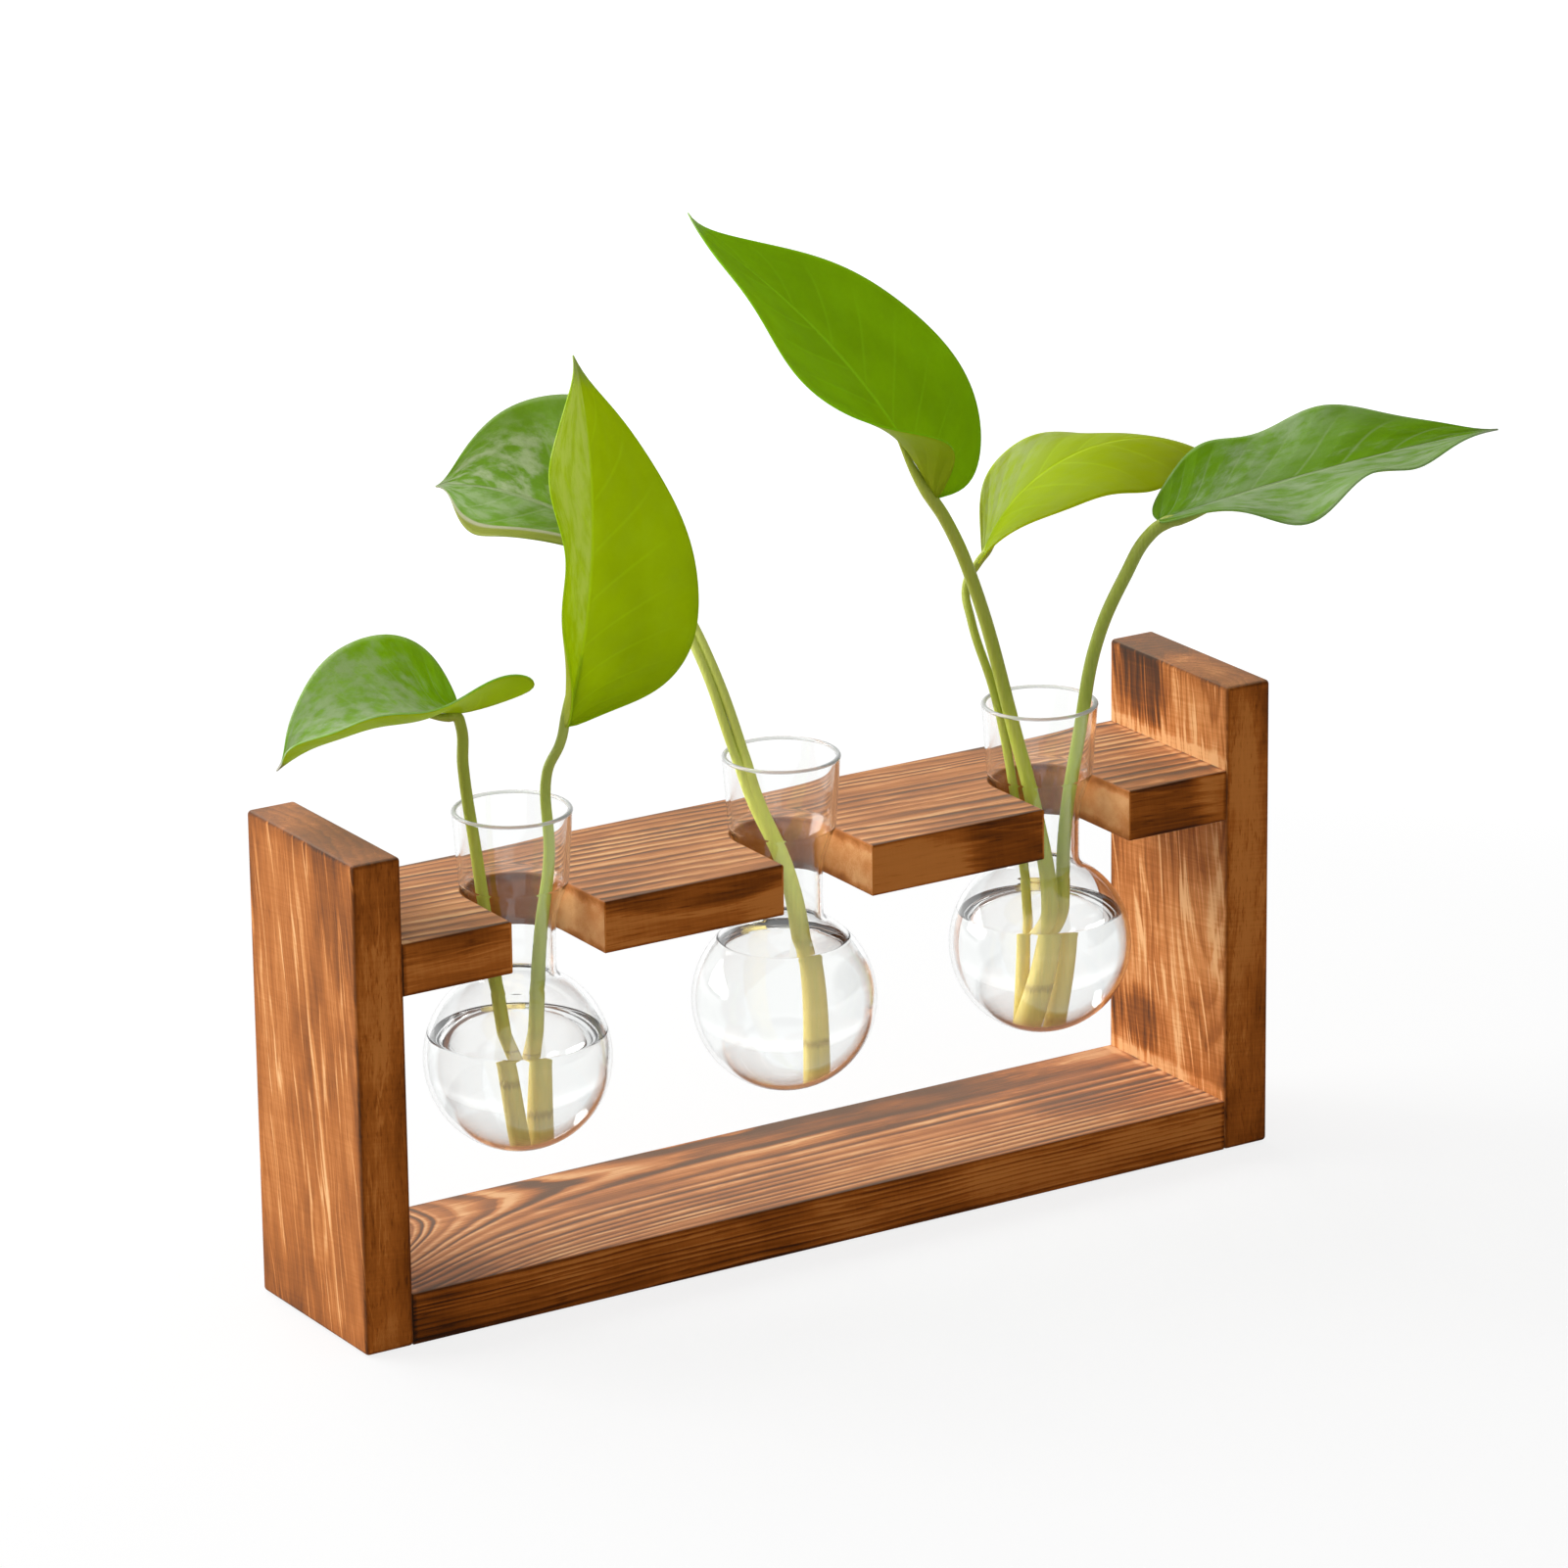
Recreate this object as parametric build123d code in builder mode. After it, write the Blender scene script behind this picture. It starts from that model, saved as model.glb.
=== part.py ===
"""Propagation vase: a torched wooden rack holding three glass bulb vases with leaf cuttings.

Millimetres, +Z up. The origin is on the floor under the middle of the rack, +X runs along the rack
to the right, +Y to the back.
"""
import os
from math import cos, exp, pi, radians, sin, tau

from build123d import *

# Rack boards
RACK_LENGTH = 320.0
RACK_DEPTH = 63.5
RACK_HEIGHT = 150.0
POST_THICKNESS = 16.0
BASE_THICKNESS = 16.0
SHELF_THICKNESS = 16.0
SHELF_DROP = 26.5
BOARD_SETBACK = 0.4
POST_ROUND = 1.4
BOARD_ROUND = 0.7
JOINT_GAP = 0.02

# Notches that hold the vase necks, open to the front
NOTCH_PITCH = 92.5
NOTCH_WIDTH = 31.0
NOTCH_REACH = 25.5

# Hidden dowels, two to each glued joint
DOWEL_DIAMETER = 8.0
DOWEL_LENGTH = 30.0
DOWEL_IN_POST = 10.0
DOWEL_SPACING = 34.0
DOWEL_CLEARANCE = 0.05
DOWEL_END_GAP = 0.5

# Glass vases, heights above the underside of the bulb
BULB_DIAMETER = 56.0
NECK_DIAMETER = 24.0
NECK_TOP = 67.0
SEAT_HEIGHT = 80.2
SEAT_CLEARANCE = 0.3
CUP_BASE_DIAMETER = 32.4
CUP_BASE_HEIGHT = 82.6
RIM_DIAMETER = 35.4
VASE_HEIGHT = 105.0
SHOULDER_ROUND = 4.0
GLASS_WALL = 1.3
RIM_ROUND = 0.5

# Leaf blades
BLADE_THICKNESS = 0.8
BLADE_START = 0.04
BLADE_END = 0.985
BLADE_ROWS = 15
BLADE_COLUMNS = 7

SHELF_TOP = RACK_HEIGHT - SHELF_DROP
BOARD_LENGTH = RACK_LENGTH - 2 * POST_THICKNESS - 2 * JOINT_GAP
BOARD_DEPTH = RACK_DEPTH - 2 * BOARD_SETBACK
SHELF_FRONT = -BOARD_DEPTH / 2
VASE_Y = SHELF_FRONT + NOTCH_REACH
VASE_BOTTOM = SHELF_TOP - SEAT_HEIGHT

os.makedirs("parts", exist_ok=True)


def save(builder, name):
    """Labels a finished piece and writes its file."""
    builder.part.label = name
    export_step(builder.part, f"parts/{name}.step")


# Dowel places
DOWEL_HEIGHTS = {"base": BASE_THICKNESS / 2, "shelf": SHELF_TOP - SHELF_THICKNESS / 2}
POST_INNER = RACK_LENGTH / 2 - POST_THICKNESS
DOWEL_HOLE = DOWEL_DIAMETER / 2 + DOWEL_CLEARANCE
DOWEL_IN_BOARD = DOWEL_LENGTH - DOWEL_IN_POST


def dowel_plane(height, side, into_board):
    """Plane on a post's inner face, looking into the board end or into the post."""
    direction = -side if into_board else side
    return Plane(origin=(side * POST_INNER, 0, height), x_dir=(0, 1, 0), z_dir=(direction, 0, 0))


# Side posts
for post_name, side in (("left_side_post", -1), ("right_side_post", 1)):
    with BuildPart() as post:
        with Locations((side * (RACK_LENGTH - POST_THICKNESS) / 2, 0, 0)):
            Box(POST_THICKNESS, RACK_DEPTH, RACK_HEIGHT, align=(Align.CENTER, Align.CENTER, Align.MIN))
        fillet(post.edges(), radius=POST_ROUND)
        for height in DOWEL_HEIGHTS.values():
            with BuildSketch(dowel_plane(height, side, False)):
                with GridLocations(DOWEL_SPACING, 0, 2, 1):
                    Circle(DOWEL_HOLE)
            extrude(amount=DOWEL_IN_POST + DOWEL_END_GAP, mode=Mode.SUBTRACT)
    save(post, post_name)

# Base board and notched shelf
BOARD_HEIGHTS = {
    "base_board": (0.0, BASE_THICKNESS, "base"),
    "notched_shelf": (SHELF_TOP - SHELF_THICKNESS, SHELF_THICKNESS, "shelf"),
}
for board_name, (bottom, thickness, dowel_row) in BOARD_HEIGHTS.items():
    with BuildPart() as board:
        with Locations((0, 0, bottom)):
            Box(BOARD_LENGTH, BOARD_DEPTH, thickness, align=(Align.CENTER, Align.CENTER, Align.MIN))
        if board_name == "notched_shelf":
            with BuildSketch(Plane.XY.offset(bottom)):
                with GridLocations(NOTCH_PITCH, 0, 3, 1):
                    with Locations((0, VASE_Y)):
                        Circle(NOTCH_WIDTH / 2)
                    with Locations((0, VASE_Y - NOTCH_REACH / 2)):
                        Rectangle(NOTCH_WIDTH, NOTCH_REACH)
            extrude(amount=thickness, mode=Mode.SUBTRACT)
        rims = board.faces().filter_by(Axis.Z).edges()
        outer = [board.faces().sort_by(Axis.X)[0], board.faces().sort_by(Axis.X)[-1]]
        joint_edges = outer[0].edges() + outer[1].edges()
        fillet([edge for edge in rims if edge not in joint_edges], radius=BOARD_ROUND)
        for side in (-1, 1):
            with BuildSketch(dowel_plane(DOWEL_HEIGHTS[dowel_row], side, True)):
                with GridLocations(DOWEL_SPACING, 0, 2, 1):
                    Circle(DOWEL_HOLE)
            extrude(amount=DOWEL_IN_BOARD + DOWEL_END_GAP, mode=Mode.SUBTRACT)
    save(board, board_name)

# Dowels, one pair to each joint
for row_name, height in DOWEL_HEIGHTS.items():
    for side_name, side in (("left", -1), ("right", 1)):
        with BuildPart() as dowels:
            with BuildSketch(dowel_plane(height, side, True).offset(-DOWEL_IN_POST)):
                with GridLocations(DOWEL_SPACING, 0, 2, 1):
                    Circle(DOWEL_DIAMETER / 2)
            extrude(amount=DOWEL_LENGTH)
            chamfer(dowels.edges().filter_by(GeomType.CIRCLE), length=0.8)
        save(dowels, f"{row_name}_{side_name}_dowels")

# Vases
SEAT_RADIUS = NOTCH_WIDTH / 2 - SEAT_CLEARANCE
BULB_CENTRE = BULB_DIAMETER / 2
SHOULDER_CENTRE = NECK_DIAMETER / 2 + SHOULDER_ROUND
SHOULDER_RISE = ((BULB_CENTRE + SHOULDER_ROUND) ** 2 - SHOULDER_CENTRE ** 2) ** 0.5
SHOULDER_ARC = BULB_CENTRE + SHOULDER_ROUND
VASE_X = {"left": -NOTCH_PITCH, "middle": 0.0, "right": NOTCH_PITCH}


def vase_side(inset):
    """Draws one side of the glass, from the foot of the bulb to the rim, inset from the outer face."""
    bulb = BULB_CENTRE - inset
    neck = NECK_DIAMETER / 2 - inset
    shoulder = SHOULDER_ROUND + inset
    touch = (SHOULDER_CENTRE * bulb / SHOULDER_ARC, BULB_CENTRE + SHOULDER_RISE * bulb / SHOULDER_ARC)
    toward = Vector(-1 - SHOULDER_CENTRE / SHOULDER_ARC, -SHOULDER_RISE / SHOULDER_ARC).normalized()
    arc_middle = (SHOULDER_CENTRE + shoulder * toward.X, BULB_CENTRE + SHOULDER_RISE + shoulder * toward.Y)
    neck_foot = (neck, BULB_CENTRE + SHOULDER_RISE)
    cup_foot = (CUP_BASE_DIAMETER / 2 - inset, CUP_BASE_HEIGHT)
    rim = (RIM_DIAMETER / 2 - inset, VASE_HEIGHT)
    ThreePointArc((0, inset), (bulb, BULB_CENTRE), touch)
    ThreePointArc(touch, arc_middle, neck_foot)
    Line(neck_foot, (neck, NECK_TOP))
    Spline(
        (neck, NECK_TOP),
        (SEAT_RADIUS - inset, SEAT_HEIGHT),
        cup_foot,
        tangents=[(0, 1), (rim[0] - cup_foot[0], rim[1] - cup_foot[1])],
    )
    Line(cup_foot, rim)


for vase_name, vase_x in VASE_X.items():
    vase_plane = Plane(origin=(vase_x, VASE_Y, VASE_BOTTOM), x_dir=(1, 0, 0), z_dir=(0, -1, 0))
    with BuildPart() as vase:
        with BuildSketch(vase_plane):
            with BuildLine():
                vase_side(0)
                Line((RIM_DIAMETER / 2, VASE_HEIGHT), (RIM_DIAMETER / 2 - GLASS_WALL, VASE_HEIGHT))
                vase_side(GLASS_WALL)
                Line((0, GLASS_WALL), (0, 0))
            make_face()
        revolve(axis=Axis((vase_x, VASE_Y, 0), (0, 0, 1)))
        fillet(vase.edges().filter_by(GeomType.CIRCLE).sort_by(Axis.Z)[-2:], radius=RIM_ROUND)
    save(vase, f"{vase_name}_vase")

# Leaf blades: angles in degrees, lengths in millimetres; a pair is left and right, a fold is at base and tip
LEAF_SHAPES = {
    "left_low": dict(
        head=169, pitch=11.6, roll=-19, length=58.5, widths=(29.4, 27.2), arch=62, sweep=-10,
        left_fold=(21.5, 42), right_fold=(34, 23), curls=(62, 0), twist=13.6, widest=0.36, taper=1.02,
        lobes=(37, -2), waves=(1.7, 0.3), count=2.1, start=0.04, hook=0,
    ),
    "left_tall": dict(
        head=-6.4, pitch=73, roll=111, length=106.7, widths=(31.9, 33.6), arch=12.9, sweep=23.8,
        left_fold=(49.7, 7.8), right_fold=(30.9, 19.6), curls=(16.4, 5.4), twist=-10, widest=0.36,
        taper=1.16, lobes=(1, -6.5), waves=(3.5, 0.4), count=2.24, start=-0.13, hook=1.2,
    ),
    "middle": dict(
        head=129.7, pitch=35.4, roll=-24.8, length=86.6, widths=(26.9, 34.8), arch=55.4, sweep=-7,
        left_fold=(53.8, 8.8), right_fold=(51, 24.7), curls=(-28, 0), twist=-35.7, widest=0.44,
        taper=1.39, lobes=(6.4, -2.2), waves=(-0.5, 0.6), count=3, start=0, hook=1,
    ),
    "right_high": dict(
        head=141.3, pitch=64.3, roll=-19.2, length=117, widths=(30, 30.1), arch=45.8, sweep=-10,
        left_fold=(17, 8.8), right_fold=(39.3, 7.8), curls=(62, 0), twist=-11.4, widest=0.31,
        taper=1.42, lobes=(-5.5, 10), waves=(2.4, -1.2), count=1.61, start=0.68, hook=-8,
    ),
    "right_arched": dict(
        head=-49, pitch=72, roll=35, length=93, widths=(31, 32), arch=110, sweep=6, left_fold=(9, -40),
        right_fold=(27, -24), curls=(0, 0), twist=-1, widest=0.42, taper=1, lobes=(5, 5),
        waves=(0.4, 0.8), count=3, start=0.8, hook=0,
    ),
    "right_spread": dict(
        head=-15.8, pitch=13.4, roll=4.3, length=111, widths=(32.9, 33.1), arch=8.6, sweep=3.9,
        left_fold=(2.2, 17.9), right_fold=(4, 19.4), curls=(4, 12), twist=7.4, widest=0.38, taper=1.43,
        lobes=(5.9, 6.6), waves=(-3.3, 5.3), count=2.33, start=0, hook=-1,
    ),
}

# Stems: points beside the vase axis and above the underside of the bulb, then the radius at each end
STEM_PATHS = {
    "left_low": ("left", (2.4, 1.7), [
        (-1.3, -3.9, 3.4), (-4.4, 1.2, 40.0), (-6.7, 4.1, 66.5), (-9.0, 5.6, 90.0), (-11.8, 7.3, 118.0),
        (-12.2, 7.6, 134.5),
    ]),
    "left_tall": ("left", (2.9, 1.9), [
        (4.8, 1.1, 3.4), (5.2, -1.6, 33.0), (6.4, -4.0, 66.5), (9.0, -5.5, 90.0), (7.5, -7.5, 115.0),
        (6.5, -21.7, 134.5),
    ]),
    "middle": ("middle", (3.0, 2.2), [
        (5.8, -3.6, 4.2), (5.4, -3.4, 37.0), (1.3, -0.6, 67.5), (-6.3, 5.5, 91.3), (-9.4, 8.5, 104.6),
        (-13.5, 19.0, 130.0), (-14.2, 44.1, 152.5),
    ]),
    "right_high": ("right", (3.3, 2.0), [
        (-4.6, 0.4, 4.4), (0.4, -3.0, 27.6), (1.0, -3.8, 42.0), (-1.4, -1.0, 66.6), (-6.8, 4.0, 97.0),
        (-16.7, 10.5, 142.0), (-29.1, 12.2, 171.0),
    ]),
    "right_arched": ("right", (1.6, 1.3), [
        (-1.0, 5.5, 4.2), (-2.5, 3.5, 40.0), (-4.6, 4.9, 66.0), (-9.8, 9.8, 106.4), (-12.2, 19.0, 128.2),
        (-9.2, 26.0, 137.2), (-2.6, 27.2, 145.0),
    ]),
    "right_spread": ("right", (2.3, 2.0), [
        (3.2, 1.4, 3.6), (6.8, -0.6, 26.0), (6.9, -4.0, 66.5), (10.4, -6.8, 96.6), (12.6, -12.0, 124.0),
        (16.0, -22.5, 147.5), (22.7, -30.6, 165.8),
    ]),
}


def leaf_point(shape, base, along, across):
    """Point on a blade: along runs from stalk to tip, across from the right margin to the left."""
    head = radians(shape["head"])
    pitch = radians(shape["pitch"])
    roll = radians(shape["roll"])
    forward = Vector(cos(pitch) * cos(head), cos(pitch) * sin(head), sin(pitch))
    level = Vector(-sin(head), cos(head), 0)
    raised = forward.cross(level)
    side = level * cos(roll) + raised * sin(roll)
    normal = raised * cos(roll) - level * sin(roll)
    arch = radians(shape["arch"])
    sweep = radians(shape["sweep"])
    turn = arch * along
    run = forward * (sin(turn) / arch) - normal * ((1 - cos(turn)) / arch) + side * (sweep * along ** 2 / 2)
    hook = side * (shape["hook"] * exp((along - 1) / 0.07))
    middle = base + run * shape["length"] + hook
    ahead = (forward * cos(turn) - normal * sin(turn) + side * (sweep * along)).normalized()
    upright = normal * cos(turn) + forward * sin(turn)
    twist = radians(shape["twist"]) * along
    beside = side * cos(twist) + upright * sin(twist)
    above = upright * cos(twist) - side * sin(twist)
    widest = shape["widest"]
    swell = shape["taper"] * widest / (1 - widest)
    half = (along / widest) ** swell * ((1 - along) / (1 - widest)) ** shape["taper"]
    back = exp(-along / 0.15) * (1 - exp(-along / 0.03))
    margins = []
    for edge, (name, sign) in enumerate((("left", 1), ("right", -1))):
        first, last = shape[f"{name}_fold"]
        fold = radians(first + (last - first) * along + shape["curls"][edge] * exp(-((along / 0.2) ** 2)))
        reach = shape["widths"][edge] * half
        phase = shape["count"] * along + shape["start"] + (0 if edge else 0.3)
        flutter = shape["waves"][edge] * sin(tau * phase) * sin(pi * along) ** 2
        margin = beside * (sign * cos(fold) * reach) + above * (sin(fold) * reach + flutter)
        margins.append(margin - ahead * (shape["lobes"][edge] * back))
    left, right = margins
    return middle + (left - right) * (across / 2) + (left + right) * (across ** 2 / 2)


for plant, (vase_name, (foot_radius, tip_radius), path) in STEM_PATHS.items():
    foot = Vector(VASE_X[vase_name], VASE_Y, VASE_BOTTOM)
    points = [foot + Vector(*point) for point in path]
    shape = LEAF_SHAPES[plant]
    leaf_base = points[-1]
    points.append(leaf_point(shape, leaf_base, 0.07, 0))
    with BuildPart() as stem:
        with BuildLine() as run:
            Spline(*points)
        steps = 2 * len(points)
        for step in range(steps + 1):
            place = step / steps
            with BuildSketch(Plane(run.line @ place, x_dir=(1, 0, 0), z_dir=run.line % place)):
                Circle(foot_radius + (tip_radius - foot_radius) * place)
        loft()
    save(stem, f"{plant}_stem")
    rows = []
    for row in range(BLADE_ROWS):
        along = BLADE_START + (BLADE_END - BLADE_START) * row / (BLADE_ROWS - 1)
        spread = [2 * column / (BLADE_COLUMNS - 1) - 1 for column in range(BLADE_COLUMNS)]
        rows.append([leaf_point(shape, leaf_base, along, across) for across in spread])
    with BuildPart() as blade:
        thicken(Face.make_surface_from_array_of_points(rows, tol=0.02), amount=BLADE_THICKNESS)
    save(blade, f"{plant}_leaf")
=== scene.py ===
"""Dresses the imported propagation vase: torched boards, glass bulbs with water, and leafy cuttings.

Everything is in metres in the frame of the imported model: +X along the rack, +Y to the back, +Z up.
"""
from math import cos, exp, pi, radians, sin, sqrt, tau

import bpy
from mathutils import Matrix, Vector


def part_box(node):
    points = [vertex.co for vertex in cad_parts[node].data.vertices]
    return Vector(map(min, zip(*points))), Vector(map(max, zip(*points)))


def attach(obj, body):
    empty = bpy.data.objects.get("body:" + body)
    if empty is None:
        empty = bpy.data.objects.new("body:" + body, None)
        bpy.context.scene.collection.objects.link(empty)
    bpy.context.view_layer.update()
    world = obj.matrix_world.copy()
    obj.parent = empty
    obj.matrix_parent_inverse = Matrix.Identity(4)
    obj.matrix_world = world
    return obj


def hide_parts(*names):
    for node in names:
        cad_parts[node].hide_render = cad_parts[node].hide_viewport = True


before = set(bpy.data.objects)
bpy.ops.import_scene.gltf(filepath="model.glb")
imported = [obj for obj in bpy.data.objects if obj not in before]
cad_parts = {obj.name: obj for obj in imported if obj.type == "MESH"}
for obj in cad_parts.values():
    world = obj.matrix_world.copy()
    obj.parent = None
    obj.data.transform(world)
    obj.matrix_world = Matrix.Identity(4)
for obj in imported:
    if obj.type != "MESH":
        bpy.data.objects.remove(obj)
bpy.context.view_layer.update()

bl_info = {
    "name": "Propagation Vase",
    "version": (1, 0, 0),
    "blender": (4, 5, 0),
    "location": "View3D > Sidebar > Vase",
    "description": "Glass bulb vases with leafy cuttings in a torched wooden rack",
    "category": "Object",
}

MM = 0.001
PLACES = ("left", "middle", "right")
BODIES = {"left": "left_cuttings", "middle": "middle_cutting", "right": "right_cuttings"}


# Shader writing

class Signal:
    """A shader socket that adds Math nodes when it is used in an expression."""

    def __init__(self, finish, socket):
        self.finish = finish
        self.socket = socket

    def maths(self, operation, *others):
        return self.finish.add("ShaderNodeMath", {"operation": operation}, (self, *others))

    def __add__(self, other):
        return self.maths("ADD", other)

    __radd__ = __add__

    def __sub__(self, other):
        return self.maths("SUBTRACT", other)

    def __rsub__(self, other):
        return self.finish.add("ShaderNodeMath", {"operation": "SUBTRACT"}, (other, self))

    def __mul__(self, other):
        return self.maths("MULTIPLY", other)

    __rmul__ = __mul__

    def __truediv__(self, other):
        return self.maths("DIVIDE", other)

    def __pow__(self, other):
        return self.maths("POWER", other)

    def __abs__(self):
        return self.maths("ABSOLUTE")

    def lowest(self, other):
        return self.maths("MINIMUM", other)

    def highest(self, other):
        return self.maths("MAXIMUM", other)

    def fraction(self):
        return self.maths("FRACT")

    def rise(self, low, high):
        """Runs smoothly from 0 at low to 1 at high."""
        settings = {"interpolation_type": "SMOOTHSTEP"}
        return self.finish.add("ShaderNodeMapRange", settings, {0: self, 1: low, 2: high})


class Finish:
    """One node material, or the world, in the making."""

    def __init__(self, name, world=None):
        self.owner = world or bpy.data.materials.new(name)
        self.owner.use_nodes = True
        self.tree = self.owner.node_tree
        self.tree.nodes.clear()

    def add(self, kind, settings=None, sockets=(), out=0):
        """Adds a node of a type with its settings, then its socket values or links."""
        node = self.tree.nodes.new(kind)
        for name, value in (settings or {}).items():
            if name == "stops":
                ramp = node.color_ramp
                while len(ramp.elements) < len(value):
                    ramp.elements.new(0.5)
                for element, (place, colour) in zip(ramp.elements, value):
                    element.position = place
                    element.color = (*colour, 1)
            else:
                setattr(node, name, value)
        for key, value in sockets.items() if isinstance(sockets, dict) else enumerate(sockets):
            if isinstance(value, Signal):
                self.tree.links.new(value.socket, node.inputs[key])
            else:
                node.inputs[key].default_value = value
        return Signal(self, node.outputs[out]) if node.outputs else None

    def parts(self, vector):
        """The three numbers of a vector."""
        return [self.add("ShaderNodeSeparateXYZ", None, (vector,), out) for out in range(3)]

    def vector(self, x, y, z):
        return self.add("ShaderNodeCombineXYZ", None, (x, y, z))

    def vector_maths(self, operation, sockets, out=0):
        return self.add("ShaderNodeVectorMath", {"operation": operation}, sockets, out)

    def place(self):
        """Object coordinates in millimetres."""
        coords = self.add("ShaderNodeTexCoord", out="Object")
        return self.parts(self.vector_maths("SCALE", {0: coords, "Scale": 1 / MM}))

    def ray(self, *kinds):
        """1 for a ray of one of these kinds, else 0."""
        first, *others = [self.add("ShaderNodeLightPath", out=f"Is {kind} Ray") for kind in kinds]
        for other in others:
            first = first.highest(other)
        return first

    def facing(self):
        """The three numbers of the surface's normal."""
        return self.parts(self.add("ShaderNodeNewGeometry", out="Normal"))

    def noise(self, vector, scale=1.0, detail=2.0, roughness=0.5):
        sockets = {"Vector": vector, "Scale": scale, "Detail": detail, "Roughness": roughness}
        return self.add("ShaderNodeTexNoise", None, sockets)

    def ramp(self, value, stops):
        return self.add("ShaderNodeValToRGB", {"stops": stops}, (value,))

    def mix(self, factor, first, second, blend="MIX"):
        """Mixes two colours by the node's colour sockets; a plain colour is a tuple of three."""
        settings = {"data_type": "RGBA", "blend_type": blend}
        colours = [c if isinstance(c, Signal) else (*c, 1) for c in (first, second)]
        return self.add("ShaderNodeMix", settings, {0: factor, 6: colours[0], 7: colours[1]}, 2)

    def bump(self, height, strength, distance):
        sockets = {"Strength": strength, "Distance": distance, "Height": height}
        return self.add("ShaderNodeBump", None, sockets)

    def shader(self, **sockets):
        """A Principled shader, its sockets named with _ for a space."""
        named = {key.replace("_", " "): value for key, value in sockets.items()}
        colour = named["Base Color"]
        if not isinstance(colour, Signal):
            named["Base Color"] = (*colour, 1)
        return self.add("ShaderNodeBsdfPrincipled", None, named)

    def blend(self, factor, first, second):
        """Mixes two shaders."""
        return self.add("ShaderNodeMixShader", None, {0: factor, 1: first, 2: second})

    def end(self, shader):
        self.add("ShaderNodeOutputMaterial", None, {"Surface": shader})
        return self.owner

    def surface(self, **sockets):
        """Ends the material in one Principled shader."""
        return self.end(self.shader(**sockets))


# Materials

# Torched pine from charred to bare
CHAR_STOPS = (
    (0.0, (0.020, 0.007, 0.003)),
    (0.22, (0.090, 0.024, 0.004)),
    (0.45, (0.26, 0.070, 0.006)),
    (0.65, (0.47, 0.142, 0.022)),
    (0.82, (0.69, 0.265, 0.072)),
    (1.0, (0.92, 0.52, 0.23)),
)
# Tan of the painted sheen on the boards' tops and sides
SHEEN_TAN = (0.62, 0.41, 0.29)
AMBER = (1.0, 0.9, 0.66)


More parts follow.
